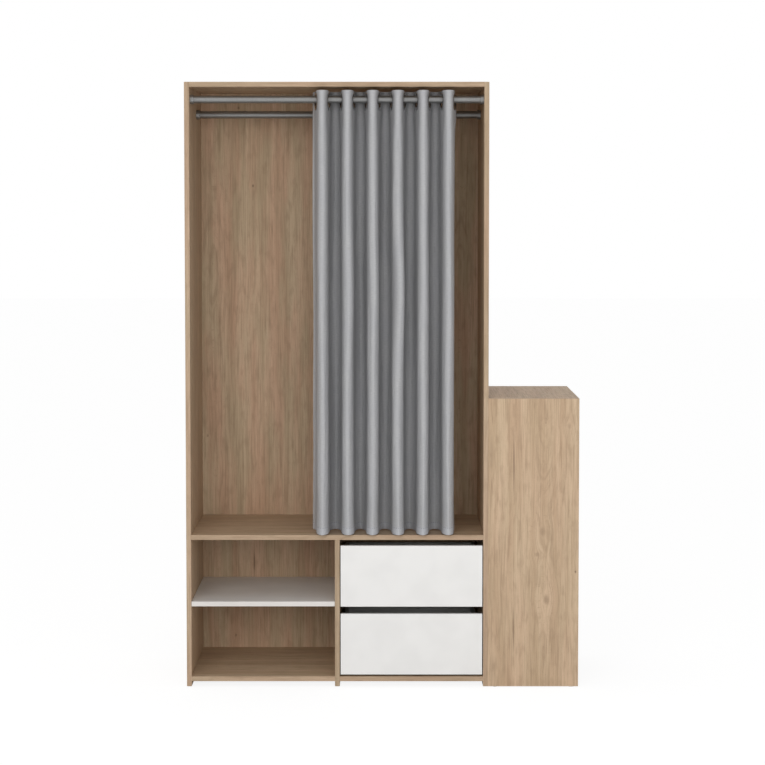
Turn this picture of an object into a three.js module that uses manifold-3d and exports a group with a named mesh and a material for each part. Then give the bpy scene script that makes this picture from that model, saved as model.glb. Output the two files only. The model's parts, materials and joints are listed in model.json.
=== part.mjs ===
// An open-front wardrobe of faced chipboard. A hanging bay is closed by a curtain on a rail of its own,
// two drawers and two open cubbies lie below it, and a low shelf unit stands against its right side.
// Lengths are millimetres. X runs to the right, Y to the back and Z up, and the front faces -Y.

import * as THREE from 'three';
import { mergeVertices } from 'three/addons/utils/BufferGeometryUtils.js';
import Module from 'manifold-3d';

const wasm = await Module();
wasm.setup();

// Overall sizes
const wardrobeWidth = 1000;
const panelHeight = 2000;
const carcassDepth = 500;
const unitWidth = 300;
const unitPanelHeight = 960;
const board = 16;

// Fits
const clearance = 0.3;
const cutOverrun = 2;

// Nail-on glides under every upright panel
const glideRadius = 7;
const glideHeight = 1.5;
const glideInset = 24;
const roundSegments = 24;

// Thin back panels, each held in a groove round its edges
const backThickness = 3;
const backInset = 7;
const grooveDepth = 5;

// Heights of the horizontal boards, from the lower end of the side panels to each board's underside
const plinthGap = 17;
const looseShelfHeight = 268;
const hangingFloorHeight = 490;

// Loose shelf and the four plain pins that carry it
const shelfEndGap = 0.5;
const shelfBackGap = 1;
const pinRadius = 2.5;
const pinDepth = 8;
const pinReach = 8;
const pinFromFront = 60;
const pinFromBack = 70;

// Rails: a tube between two cup flanges that are screwed to the side panels. A drop is measured from
// the top panel's underside to the middle of the tube.
const tubeRadius = 12.5;
const tubeWall = 1.25;
const curtainRailSetback = 45;
const curtainRailDrop = 40;
const hangingRailSetback = 294;
const hangingRailDrop = 80;
const flangeBase = 3;
const flangeLength = 12;
const flangeWall = 3;
const flangeBevel = 1;

// Drawers
const drawerFrontHeight = 203.5;
const drawerFrontSideGap = 3;
const drawerFrontBottomGap = 6.5;
const drawerFingerGap = 24;
const drawerBoxHeight = 140;
const drawerBoxLift = 9.5;
const drawerBoxDepth = 416;
const drawerBoard = 12;
const drawerBottomThickness = 3;
const drawerBottomLift = 8;
const drawerGrooveDepth = 4;

// Drawer runners: a channel on the bay wall and a smaller channel on the drawer that slides inside it
const runnerSpace = 12.5;
const runnerHeight = 27;
const runnerLength = 400;
const runnerFlange = 9.5;
const runnerSteel = 1.25;
const runnerPlay = 0.5;
const runnerSetback = 4;

// Curtain: even folds that hang through eyelets on the curtain rail, drawn towards the right side
const curtainHeading = 35.2;
const curtainFloorGap = 4;
const clothThickness = 1.2;
const eyeletCount = 12;
const eyeletPitch = 41.4;
const lastEyeletFromSide = 97.1;
const foldReach = 72;
const foldOverhangDegrees = 3;
const flankDegrees = 5.5;
const headingFlankDegrees = 11;
const headingFall = 110;
const foldSteps = 3;
const lastHemLength = 40;
const eyeletBore = 20;
const eyeletSleeve = 1.5;
const eyeletFlange = 9;
const eyeletFlangeThickness = 1.2;
const eyeletEdgeBevel = 0.6;
const eyeletSegments = 20;
const eyeletHolePlay = 0.6;
const eyeletHoleSegments = 16;
const eyeletFlatMargin = 1;

// Low unit
const unitShelfCount = 2;

// Places that follow from the sizes
const backFront = carcassDepth - backInset - backThickness;
const rightInner = wardrobeWidth - board;
const dividerLeft = (wardrobeWidth - board) / 2;
const dividerRight = dividerLeft + board;
const bottomTop = plinthGap + board;
const hangingFloorTop = hangingFloorHeight + board;
const topUnderside = panelHeight - board;
const curtainRailHeight = topUnderside - curtainRailDrop;
const hangingRailHeight = topUnderside - hangingRailDrop;
const curtainProud = foldReach + clothThickness / 2 - curtainRailSetback;

// Boards are placed on a fine grid that 32-bit numbers hold exactly, so that boards that touch share a face
const gridSteps = 128;
const onGrid = (length) => Math.round(length * gridSteps) / gridSteps;

// Finishes
function finish(color, roughness, metalness) {
  return new THREE.MeshStandardMaterial({ color, roughness, metalness });
}
const oakDecor = finish('#bca389', 0.6, 0);
const backDecor = finish('#b89f84', 0.65, 0);
const whiteMelamine = finish('#eceae7', 0.45, 0);
const drawerFoil = finish('#d5d5d3', 0.6, 0);
const satinSteel = finish('#a9aaaa', 0.35, 0.9);
const zincSteel = finish('#9fa3a6', 0.4, 0.9);
const nickel = finish('#b9bbbd', 0.3, 0.9);
const greyCloth = finish('#a3a3a4', 0.95, 0);

function solidOf(geometry) {
  geometry.deleteAttribute('normal');
  geometry.deleteAttribute('uv');
  const merged = mergeVertices(geometry);
  const vertProperties = merged.attributes.position.array;
  const triVerts = Uint32Array.from(merged.index.array);
  return new wasm.Manifold(new wasm.Mesh({ numProp: 3, vertProperties, triVerts }));
}

function geometryOf(solid) {
  const { vertProperties, triVerts } = solid.getMesh();
  const geometry = new THREE.BufferGeometry();
  geometry.setAttribute('position', new THREE.BufferAttribute(vertProperties, 3));
  geometry.setIndex(new THREE.BufferAttribute(triVerts, 1));
  geometry.computeVertexNormals();
  return geometry;
}

function addMesh(group, name, geometry, material, place = [0, 0, 0]) {
  const mesh = new THREE.Mesh(geometry, material);
  mesh.name = name;
  mesh.position.set(...place);
  group.add(mesh);
  return mesh;
}

// A box between two corners, and where its centre lies
function slab(low, high) {
  const from = low.map(onGrid);
  const to = high.map(onGrid);
  const size = to.map((end, axis) => end - from[axis]);
  const centre = from.map((start, axis) => start + size[axis] / 2);
  return { geometry: new THREE.BoxGeometry(...size), centre };
}

function slabSolid(low, high) {
  const { geometry, centre } = slab(low, high);
  return solidOf(geometry).translate(centre);
}

function addBoard(group, name, material, low, high) {
  const { geometry, centre } = slab(low, high);
  return addMesh(group, name, geometry, material, centre);
}

// A board with grooves or holes taken out of it and glides added to it
function addMachinedBoard(group, name, material, low, high, { cuts = [], additions = [] }) {
  const { geometry, centre } = slab(low, high);
  let solid = solidOf(geometry).translate(centre);
  for (const cut of cuts) solid = solid.subtract(cut);
  for (const addition of additions) solid = solid.add(addition);
  const back = centre.map((value) => -value);
  return addMesh(group, name, geometryOf(solid.translate(back)), material, centre);
}

// A round bar along X, centred on a place
function barAlongX(radius, length, place, segments = roundSegments) {
  const bar = new THREE.CylinderGeometry(radius, radius, length, segments);
  return solidOf(bar.rotateZ(-Math.PI / 2)).translate(place);
}

function glideUnder(x, y) {
  const disc = new THREE.CylinderGeometry(glideRadius, glideRadius, 2 * glideHeight, roundSegments);
  return solidOf(disc.rotateX(Math.PI / 2)).translate([x, y, 0]);
}

// Two glides under an upright that runs from front to back
function glidesFrontAndBack(x, depth) {
  return [glideUnder(x, glideInset), glideUnder(x, depth - glideInset)];
}

// A turned shape with its axis along X, from a profile of [radius, distance] that closes on itself
function turnedAlongX(profile, segments = roundSegments) {
  const closed = [...profile, profile[0]].map(([radius, along]) => new THREE.Vector2(radius, along));
  return new THREE.LatheGeometry(closed, segments).rotateZ(-Math.PI / 2);
}

// A section of [x, z] points, run along Y
function sectionAlongY(points, length) {
  const shape = new THREE.Shape(points.map(([x, z]) => new THREE.Vector2(x, z)));
  const run = new THREE.ExtrudeGeometry(shape, { depth: length, bevelEnabled: false });
  return run.rotateX(Math.PI / 2).translate(0, length, 0);
}

function makeCarcass() {
  const group = new THREE.Group();
  const grooveFront = backFront - clearance;
  const grooveBack = backFront + backThickness + clearance;
  const backEdge = board - grooveDepth + clearance;
  const pinZ = looseShelfHeight - pinRadius - clearance;
  const pinYs = [pinFromFront, backFront - pinFromBack];

  // Grooves for the back panels, in the side panels and in the boards above and below
  const sideGroove = (face, into) => slabSolid(
    [Math.min(face, face + into), grooveFront, -cutOverrun],
    [Math.max(face, face + into), grooveBack, panelHeight + cutOverrun],
  );
  const faceGroove = (low, high) => slabSolid(
    [-cutOverrun, grooveFront, low],
    [wardrobeWidth + cutOverrun, grooveBack, high],
  );
  const pinHoles = (face, side) => pinYs.map((y) => {
    const length = pinDepth + clearance + cutOverrun;
    return barAlongX(pinRadius + clearance, length, [face + side * (cutOverrun - length / 2), y, pinZ]);
  });

  addMachinedBoard(group, 'side_panel_left', oakDecor, [0, 0, 0], [board, carcassDepth, panelHeight], {
    cuts: [sideGroove(board, -grooveDepth), ...pinHoles(board, 1)],
    additions: glidesFrontAndBack(board / 2, carcassDepth),
  });
  addMachinedBoard(
    group, 'side_panel_right', oakDecor,
    [rightInner, 0, 0], [wardrobeWidth, carcassDepth, panelHeight],
    {
      cuts: [sideGroove(rightInner, grooveDepth)],
      additions: glidesFrontAndBack(wardrobeWidth - board / 2, carcassDepth),
    },
  );
  addMachinedBoard(
    group, 'top_panel', oakDecor,
    [board, 0, topUnderside], [rightInner, carcassDepth, panelHeight],
    { cuts: [faceGroove(topUnderside - cutOverrun, topUnderside + grooveDepth)] },
  );
  addMachinedBoard(
    group, 'hanging_floor', oakDecor,
    [board, 0, hangingFloorHeight], [rightInner, carcassDepth, hangingFloorTop],
    {
      cuts: [
        faceGroove(hangingFloorHeight - cutOverrun, hangingFloorHeight + grooveDepth),
        faceGroove(hangingFloorTop - grooveDepth, hangingFloorTop + cutOverrun),
      ],
    },
  );
  addMachinedBoard(
    group, 'divider', oakDecor,
    [dividerLeft, 0, 0], [dividerRight, backFront, hangingFloorHeight],
    {
      cuts: pinHoles(dividerLeft, -1),
      additions: glidesFrontAndBack((dividerLeft + dividerRight) / 2, backFront),
    },
  );
  addBoard(group, 'bottom_panel_left', oakDecor, [board, 0, plinthGap], [dividerLeft, backFront, bottomTop]);
  addBoard(
    group, 'bottom_panel_right', oakDecor,
    [dividerRight, 0, plinthGap], [rightInner, backFront, bottomTop],
  );
  addBoard(
    group, 'back_panel_upper', backDecor,
    [backEdge, backFront, hangingFloorTop - grooveDepth + clearance],
    [wardrobeWidth - backEdge, backFront + backThickness, topUnderside + grooveDepth - clearance],
  );
  addBoard(
    group, 'back_panel_lower', backDecor,
    [backEdge, backFront, plinthGap],
    [wardrobeWidth - backEdge, backFront + backThickness, hangingFloorHeight + grooveDepth - clearance],
  );
  addBoard(
    group, 'loose_shelf', whiteMelamine,
    [board + shelfEndGap, 0, looseShelfHeight],
    [dividerLeft - shelfEndGap, backFront - shelfBackGap, looseShelfHeight + board],
  );

  const pinLength = pinDepth + pinReach;
  const pinXs = [board - pinDepth + pinLength / 2, dividerLeft + pinDepth - pinLength / 2];
  const pin = new THREE.CylinderGeometry(pinRadius, pinRadius, pinLength, roundSegments / 2);
  pin.rotateZ(-Math.PI / 2);
  let pinNumber = 0;
  for (const x of pinXs) {
    for (const y of pinYs) {
      pinNumber += 1;
      addMesh(group, `shelf_pin_${pinNumber}`, pin.clone(), satinSteel, [x, y, pinZ]);
    }
  }
  return group;
}

// A tube and its two cup flanges, from one side panel to the other
function makeRail(name, setback, height) {
  const group = new THREE.Group();
  group.position.set(0, setback, height);
  const tubeEnd = board + flangeBase + clearance;
  const tubeLength = wardrobeWidth - 2 * tubeEnd;
  const tube = turnedAlongX([
    [tubeRadius, 0],
    [tubeRadius, tubeLength],
    [tubeRadius - tubeWall, tubeLength],
    [tubeRadius - tubeWall, 0],
  ]);
  addMesh(group, name, tube, satinSteel, [tubeEnd, 0, 0]);

  const cupBore = tubeRadius + clearance;
  const cupOuter = cupBore + flangeWall;
  const cupProfile = [
    [0, 0],
    [cupOuter, 0],
    [cupOuter, flangeLength - flangeBevel],
    [cupOuter - flangeBevel, flangeLength],
    [cupBore, flangeLength],
    [cupBore, flangeBase],
    [0, flangeBase],
  ].map(([radius, along]) => new THREE.Vector2(radius, along));
  const cup = new THREE.LatheGeometry(cupProfile, roundSegments).rotateZ(-Math.PI / 2);
  addMesh(group, `${name}_flange_left`, cup, satinSteel, [board, 0, 0]);
  const right = addMesh(group, `${name}_flange_right`, cup.clone(), satinSteel, [rightInner, 0, 0]);
  right.rotation.z = Math.PI;
  return group;
}

// The two halves of a runner, as [x, z] sections measured from the bay wall
function channelSection(wallFace, openFace, halfHeight) {
  const web = wallFace + Math.sign(openFace - wallFace) * runnerSteel;
  const inside = halfHeight - runnerSteel;
  const section = [
    [wallFace, -halfHeight],
    [openFace, -halfHeight],
    [openFace, -inside],
    [web, -inside],
    [web, inside],
    [openFace, inside],
    [openFace, halfHeight],
    [wallFace, halfHeight],
  ];
  return openFace > wallFace ? section : section.reverse();
}

const bayRunnerSection = channelSection(0, runnerFlange, runnerHeight / 2);
const drawerRunnerSection = channelSection(
  runnerSpace,
  runnerSteel + runnerPlay,
  runnerHeight / 2 - runnerSteel - runnerPlay,
);

// Adds one runner half; side is 1 on the left wall of the bay and -1, turned round, on the right one
function addRunner(group, name, section, side, wallX, z) {
  const start = board + runnerSetback;
  const geometry = sectionAlongY(section, runnerLength);
  const runner = addMesh(group, name, geometry, zincSteel, [wallX, start, z]);
  if (side < 0) {
    runner.rotation.z = Math.PI;
    runner.position.y = start + runnerLength;
  }
}

// One drawer: a front that lies in the bay's mouth, a pale box behind it and its halves of the runners
function makeDrawer(name, frontBottom) {
  const group = new THREE.Group();
  group.position.set(0, 0, frontBottom);
  const boxLeft = dividerRight + runnerSpace;
  const boxRight = rightInner - runnerSpace;
  const boxLow = drawerBoxLift;
  const boxHigh = boxLow + drawerBoxHeight;
  const boxBack = board + drawerBoxDepth;
  const bottomLow = boxLow + drawerBottomLift;
  const bottomHigh = bottomLow + drawerBottomThickness;
  const grooveLow = bottomLow - clearance;
  const grooveHigh = bottomHigh + clearance;
  const runnerZ = boxLow + drawerBoxHeight / 2;

  addBoard(
    group, `${name}_front`, whiteMelamine,
    [dividerRight + drawerFrontSideGap, 0, 0],
    [rightInner - drawerFrontSideGap, board, drawerFrontHeight],
  );
  const groove = (low, high) => ({
    cuts: [slabSolid([low, board - cutOverrun, grooveLow], [high, boxBack + cutOverrun, grooveHigh])],
  });
  addMachinedBoard(
    group, `${name}_side_left`, drawerFoil,
    [boxLeft, board, boxLow], [boxLeft + drawerBoard, boxBack, boxHigh],
    groove(boxLeft + drawerBoard - drawerGrooveDepth, boxLeft + drawerBoard + cutOverrun),
  );
  addMachinedBoard(
    group, `${name}_side_right`, drawerFoil,
    [boxRight - drawerBoard, board, boxLow], [boxRight, boxBack, boxHigh],
    groove(boxRight - drawerBoard - cutOverrun, boxRight - drawerBoard + drawerGrooveDepth),
  );
  addBoard(
    group, `${name}_back`, drawerFoil,
    [boxLeft + drawerBoard, boxBack - drawerBoard, bottomHigh + clearance],
    [boxRight - drawerBoard, boxBack, boxHigh],
  );
  const bottomSide = drawerBoard - drawerGrooveDepth + clearance;
  addBoard(
    group, `${name}_bottom`, drawerFoil,
    [boxLeft + bottomSide, board, bottomLow],
    [boxRight - bottomSide, boxBack, bottomHigh],
  );
  addRunner(group, `${name}_runner_left`, drawerRunnerSection, 1, dividerRight, runnerZ);
  addRunner(group, `${name}_runner_right`, drawerRunnerSection, -1, rightInner, runnerZ);
  return group;
}

function makeDrawers() {
  const group = new THREE.Group();
  const lower = bottomTop + drawerFrontBottomGap;
  const upper = lower + drawerFrontHeight + drawerFingerGap;
  for (const [name, frontBottom] of [['lower', lower], ['upper', upper]]) {
    group.add(makeDrawer(`drawer_${name}`, frontBottom));
    const runnerZ = frontBottom + drawerBoxLift + drawerBoxHeight / 2;
    addRunner(group, `bay_runner_${name}_left`, bayRunnerSection, 1, dividerRight, runnerZ);
    addRunner(group, `bay_runner_${name}_right`, bayRunnerSection, -1, rightInner, runnerZ);
  }
  return group;
}

// Half a fold in plan, from its tip to the next eyelet: a round fold that turns a little past square,
// a gentle bend the other way, and a flat stretch through the eyelet at the flank's tilt.
// Each point has its place across and in depth, measured from the tip and from the rail, and a normal.
function halfFold(tilt) {
  const overhang = THREE.MathUtils.degToRad(foldOverhangDegrees);
  const flat = eyeletBore + eyeletFlange + eyeletFlatMargin;
  const across = eyeletPitch / 2 - flat * Math.sin(tilt);
  const depth = foldReach - flat * Math.cos(tilt);

  // Both radii follow from the room across and in depth
  const foldAcross = Math.cos(overhang);
  const foldDepth = 1 + Math.sin(overhang);
  const bendAcross = Math.cos(overhang) - Math.cos(tilt);
  const bendDepth = Math.sin(overhang) + Math.sin(tilt);
  const scale = foldAcross * bendDepth - foldDepth * bendAcross;
  const foldRadius = (across * bendDepth - depth * bendAcross) / scale;

  const points = [];
  for (let step = 0; step <= foldSteps; step += 1) {
    const turn = (Math.PI / 2 + overhang) * step / foldSteps;
    points.push({
      place: [foldRadius * Math.sin(turn), foldReach - foldRadius * (1 - Math.cos(turn))],
      normal: [Math.sin(turn), Math.cos(turn)],
    });
  }
  points.push({
    place: [across, flat * Math.cos(tilt)],
    normal: [Math.cos(tilt), Math.sin(tilt)],
  });
  return points;
}

// The cloth's whole centre line in plan, from the first eyelet, with its folds to the back and front in turn
function foldLine(tilt) {
  const half = halfFold(tilt);
  const line = [];
  for (let fold = 0; fold < eyeletCount; fold += 1) {
    const side = fold % 2 === 0 ? 1 : -1;
    const tipX = (fold - 1 / 2) * eyeletPitch;
    const add = (x, y, normal) => line.push({
      place: [tipX + x, side * y],
      normal: [side * normal[0], normal[1]],
    });
    for (const { place, normal } of half) add(place[0], place[1], normal);
    if (fold === eyeletCount - 1) {
      const normal = [Math.cos(tilt), Math.sin(tilt)];
      add(eyeletPitch / 2 + lastHemLength * Math.sin(tilt), -lastHemLength * Math.cos(tilt), normal);
    } else {
      for (const { place, normal } of half.slice(1).reverse()) add(eyeletPitch - place[0], -place[1], normal);
    }
  }
  return line;
}

// A closed sheet through rows of centre lines: rows is a list of { z, line }
function clothThrough(rows) {
  const columns = rows[0].line.length;
  const positions = [];
  const indices = [];
  for (const sign of [1, -1]) {
    for (const { z, line } of rows) {
      for (const { place, normal } of line) {
        const offset = sign * clothThickness / 2;
        positions.push(place[0] + offset * normal[0], place[1] + offset * normal[1], z);
      }
    }
  }
  const at = (face, row, column) => (face * rows.length + row) * columns + column;
  const quad = (a, b, c, d) => indices.push(a, b, c, a, c, d);
  for (let column = 1; column < columns; column += 1) {
    for (let row = 1; row < rows.length; row += 1) {
      quad(at(0, row - 1, column), at(0, row - 1, column - 1), at(0, row, column - 1), at(0, row, column));
      quad(at(1, row - 1, column - 1), at(1, row - 1, column), at(1, row, column), at(1, row, column - 1));
    }
    const top = rows.length - 1;
    quad(at(0, 0, column - 1), at(0, 0, column), at(1, 0, column), at(1, 0, column - 1));
    quad(at(0, top, column), at(0, top, column - 1), at(1, top, column - 1), at(1, top, column));
  }
  const last = columns - 1;
  for (let row = 1; row < rows.length; row += 1) {
    quad(at(0, row - 1, 0), at(1, row - 1, 0), at(1, row, 0), at(0, row, 0));
    quad(at(1, row - 1, last), at(0, row - 1, last), at(0, row, last), at(1, row, last));
  }
  const geometry = new THREE.BufferGeometry();
  geometry.setAttribute('position', new THREE.Float32BufferAttribute(positions, 3));
  geometry.setIndex(indices);
  return geometry;
}

function makeCurtain() {
  const group = new THREE.Group();
  const firstEyelet = rightInner - lastEyeletFromSide - (eyeletCount - 1) * eyeletPitch;
  group.position.set(firstEyelet, curtainRailSetback, 0);
  const bottomZ = hangingFloorTop + curtainFloorGap;
  const eyeletZ = curtainRailHeight - (eyeletBore - tubeRadius - clearance);
  const sleeveRadius = eyeletBore + eyeletSleeve;
  const flangeRadius = eyeletBore + eyeletFlange;
  const grooveHalf = clothThickness / 2 + clearance;
  const eyeletHalf = grooveHalf + eyeletFlangeThickness;

  // The folds are held steeper at the eyelets and settle a little way below them
  const settled = foldLine(THREE.MathUtils.degToRad(flankDegrees));
  const held = foldLine(THREE.MathUtils.degToRad(headingFlankDegrees));
  let cloth = solidOf(clothThrough([
    { z: bottomZ, line: settled },
    { z: eyeletZ - headingFall, line: settled },
    { z: eyeletZ - flangeRadius - eyeletFlatMargin, line: held },
    { z: eyeletZ + curtainHeading, line: held },
  ]));
  const turn = (index) => (index % 2 === 0 ? headingFlankDegrees : -headingFlankDegrees);
  for (let index = 0; index < eyeletCount; index += 1) {
    const punch = barAlongX(sleeveRadius + eyeletHolePlay, eyeletPitch / 2, [0, 0, 0], eyeletHoleSegments);
    cloth = cloth.subtract(punch.rotate([0, 0, turn(index)]).translate([index * eyeletPitch, 0, eyeletZ]));
  }
  addMesh(group, 'curtain', geometryOf(cloth), greyCloth);

  // A pressed ring: a sleeve through the cloth, with a flange on each side of it
  const ringProfile = [
    [flangeRadius - eyeletEdgeBevel, -eyeletHalf],
    [flangeRadius, -grooveHalf],
    [sleeveRadius, -grooveHalf],
    [sleeveRadius, grooveHalf],
    [flangeRadius, grooveHalf],
    [flangeRadius - eyeletEdgeBevel, eyeletHalf],
    [eyeletBore, eyeletHalf],
    [eyeletBore, -eyeletHalf],
  ];
  const ring = turnedAlongX(ringProfile, eyeletSegments);
  for (let index = 0; index < eyeletCount; index += 1) {
    const name = `eyelet_${String(index + 1).padStart(2, '0')}`;
    const eyelet = addMesh(group, name, ring.clone(), nickel, [index * eyeletPitch, 0, eyeletZ]);
    eyelet.rotation.z = THREE.MathUtils.degToRad(turn(index));
  }
  return group;
}

// The low unit is a shelf unit turned a quarter: its back is against the wardrobe and it opens to the right
function makeLowUnit() {
  const group = new THREE.Group();
  group.position.set(wardrobeWidth, 0, 0);
  const frontInner = board;
  const rearInner = carcassDepth - board;
  const backFace = backInset + backThickness;
  const grooveLow = backInset - clearance;
  const grooveHigh = backFace + clearance;
  const topLow = unitPanelHeight - board;

  const uprightGroove = (low, high) => slabSolid(
    [grooveLow, low, -cutOverrun],
    [grooveHigh, high, unitPanelHeight + cutOverrun],
  );
  const glides = (y) => [glideUnder(glideInset, y), glideUnder(unitWidth - glideInset, y)];
  addMachinedBoard(group, 'low_unit_side_front', oakDecor, [0, 0, 0], [unitWidth, board, unitPanelHeight], {
    cuts: [uprightGroove(board - grooveDepth, board + cutOverrun)],
    additions: glides(board / 2),
  });
  addMachinedBoard(
    group, 'low_unit_side_rear', oakDecor,
    [0, rearInner, 0], [unitWidth, carcassDepth, unitPanelHeight],
    {
      cuts: [uprightGroove(rearInner - cutOverrun, rearInner + grooveDepth)],
      additions: glides(carcassDepth - board / 2),
    },
  );
  addMachinedBoard(
    group, 'low_unit_top', oakDecor,
    [0, frontInner, topLow], [unitWidth, rearInner, unitPanelHeight],
    {
      cuts: [slabSolid(
        [grooveLow, frontInner - cutOverrun, topLow - cutOverrun],
        [grooveHigh, rearInner + cutOverrun, topLow + grooveDepth],
      )],
    },
  );
  addBoard(
    group, 'low_unit_bottom', oakDecor,
    [backFace, frontInner, plinthGap], [unitWidth, rearInner, bottomTop],
  );
  const nicheHeight = (topLow - bottomTop - unitShelfCount * board) / (unitShelfCount + 1);
  for (let shelf = 0; shelf < unitShelfCount; shelf += 1) {
    const low = bottomTop + nicheHeight + shelf * (nicheHeight + board);
    addBoard(
      group, `low_unit_shelf_${shelf + 1}`, oakDecor,
      [backFace, frontInner, low], [unitWidth, rearInner, low + board],
    );
  }
  const backEdge = board - grooveDepth + clearance;
  addBoard(
    group, 'low_unit_back', backDecor,
    [backInset, backEdge, plinthGap],
    [backFace, carcassDepth - backEdge, topLow + grooveDepth - clearance],
  );
  return group;
}

// The origin is on the floor, under the middle of the whole
const wardrobe = new THREE.Group();
wardrobe.position.set(
  -(wardrobeWidth + unitWidth) / 2,
  -(carcassDepth - curtainProud) / 2,
  glideHeight,
);
wardrobe.add(
  makeCarcass(),
  makeRail('curtain_rail', curtainRailSetback, curtainRailHeight),
  makeRail('hanging_rail', hangingRailSetback, hangingRailHeight),
  makeDrawers(),
  makeCurtain(),
  makeLowUnit(),
);

const openFrontWardrobe = new THREE.Group();
openFrontWardrobe.add(wardrobe);

export default openFrontWardrobe;
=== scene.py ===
# %% [markdown]
# # An open-front wardrobe with a curtain
# This lesson dresses a finished construction model of a wardrobe. The construction gives every board, rail
# and drawer its size and place in metres, with +Z up and the front facing -Y. Blender adds what the eye
# reads as real: printed oak foil, edge bands, a hung curtain with pressed eyelets and satin tube. Nothing
# here moves or resizes a board: each new piece takes its size from the frame.

# %% Load the frame
import json
import math
from functools import partial

import bmesh
import bpy
from mathutils import Matrix, Vector


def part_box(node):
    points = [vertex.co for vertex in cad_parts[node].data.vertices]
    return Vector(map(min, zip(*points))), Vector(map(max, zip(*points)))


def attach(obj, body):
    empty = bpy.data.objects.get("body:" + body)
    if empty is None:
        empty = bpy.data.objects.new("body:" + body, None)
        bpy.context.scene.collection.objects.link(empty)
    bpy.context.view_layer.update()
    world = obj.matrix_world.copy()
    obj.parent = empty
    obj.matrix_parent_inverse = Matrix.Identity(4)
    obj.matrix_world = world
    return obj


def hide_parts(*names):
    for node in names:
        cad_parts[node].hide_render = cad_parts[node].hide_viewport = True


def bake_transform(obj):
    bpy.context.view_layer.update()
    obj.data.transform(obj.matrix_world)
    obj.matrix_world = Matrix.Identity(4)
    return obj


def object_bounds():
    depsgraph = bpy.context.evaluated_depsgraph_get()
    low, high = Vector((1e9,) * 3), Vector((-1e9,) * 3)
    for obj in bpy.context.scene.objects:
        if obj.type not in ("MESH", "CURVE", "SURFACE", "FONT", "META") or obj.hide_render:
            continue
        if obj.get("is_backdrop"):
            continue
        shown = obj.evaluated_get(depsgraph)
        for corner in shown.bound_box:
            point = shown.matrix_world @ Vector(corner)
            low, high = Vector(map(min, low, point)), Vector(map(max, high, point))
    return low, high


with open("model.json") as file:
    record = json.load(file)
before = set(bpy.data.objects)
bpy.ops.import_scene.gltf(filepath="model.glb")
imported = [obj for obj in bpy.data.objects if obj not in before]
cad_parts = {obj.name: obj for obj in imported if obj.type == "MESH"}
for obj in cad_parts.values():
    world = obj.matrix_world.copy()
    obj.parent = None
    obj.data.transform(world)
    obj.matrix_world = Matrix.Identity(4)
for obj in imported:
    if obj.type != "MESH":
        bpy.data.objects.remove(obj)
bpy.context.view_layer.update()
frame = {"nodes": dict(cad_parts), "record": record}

MM = 0.001
nodes = frame["nodes"]
record = frame["record"]
body_of = {node: body for body, members in record["behaviour"]["bodies"].items() for node in members}
slot_of = {part["node"]: part["material_slot"] for part in record["subparts"]}

# %% [markdown]
# ## Camera
# The wardrobe is seen straight on from some seven metres away, at eye height. A shift of the lens alone would
# keep the uprights upright, but would move the object off the middle in other views. So a pitch of three
# degrees does most of the framing, and a small shift does the rest.

# %% Camera
CAMERA_PLACE, CAMERA_PITCH = (0, -7.486, 1.6025), 3.345
LENS, LENS_SHIFT = 103.77, -0.065
scene = bpy.context.scene


def add_object(name, data):
    """A new object in the scene, at the origin."""
    thing = bpy.data.objects.new(name, data)
    scene.collection.objects.link(thing)
    return thing


camera_data = bpy.data.cameras.new("camera")
camera_data.lens = LENS
camera_data.shift_y = LENS_SHIFT
camera = add_object("camera", camera_data)
camera.location = CAMERA_PLACE
camera.rotation_euler = (math.radians(90 - CAMERA_PITCH), 0, 0)
scene.camera = camera
scene.view_settings.view_transform = "Standard"
print("camera at", tuple(camera.location), "lens", camera_data.lens)


# %% [markdown]
# ## Two helpers for materials
# Colours are picked on a screen, so they are sRGB values, and one function turns them into the linear
# values that a shader works with. The other helpers fill a node's inputs and add a node to a tree. An input
# takes a number, a colour, or another node, whose output is then linked.

# %% Colour and node helpers
def linear(code):
    """The linear colour of an sRGB hex code such as #bca389, with full opacity."""
    channels = [int(code[start:start + 2], 16) / 255 for start in (1, 3, 5)]
    curve = [c / 12.92 if c <= 0.04045 else ((c + 0.055) / 1.055) ** 2.4 for c in channels]
    return (*curve, 1)


def fill(tree, node, inputs):
    """Fills a node's inputs, by name or number. A node or an output is linked, and the rest is a value."""
    for name, value in inputs.items():
        if isinstance(value, bpy.types.Node):
            value = next(output for output in value.outputs if output.enabled)
        if isinstance(value, bpy.types.NodeSocket):
            tree.links.new(value, node.inputs[name])
        else:
            node.inputs[name].default_value = value


def add_node(tree, kind, *inputs, **settings):
    """Adds a shader node with its settings. Inputs fill the sockets in use, in order, or are one dict."""
    node = tree.nodes.new(f"ShaderNode{kind}")
    for name, value in settings.items():
        setattr(node, name, value)
    if inputs and isinstance(inputs[0], dict):
        fill(tree, node, inputs[0])
    else:
        in_use = [number for number, socket in enumerate(node.inputs) if socket.enabled]
        fill(tree, node, dict(zip(in_use, inputs)))
    return node


def new_material(name):
    """A material's shader, a function that adds a node to its tree, and one that fills the shader."""
    material = bpy.data.materials.new(name)
    material.use_nodes = True
    tree = material.node_tree
    shader = tree.nodes["Principled BSDF"]
    return material, partial(add_node, tree), partial(fill, tree, shader)


# %% [markdown]
# ## Room and light
# The object stands on a plain white floor. The light is what a photographer calls flat: an even sky from
# everywhere and two large soft lamps in front, at the left and the right, so that the fronts are lit and the
# bays fall off gently. The camera, and whatever reflects or shines through, sees white behind the object
# through the Light Path node, so no lamp is turned up for the background. The lamps are hidden from
# reflections, and there the floor close to the object is painted dark grey, a painted shade in place of the
# object's shadow. That painted shade gives the tubes an even light band with a dark underside.

# %% Sky and backdrop
SKY_LEVEL = 0.56

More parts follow.
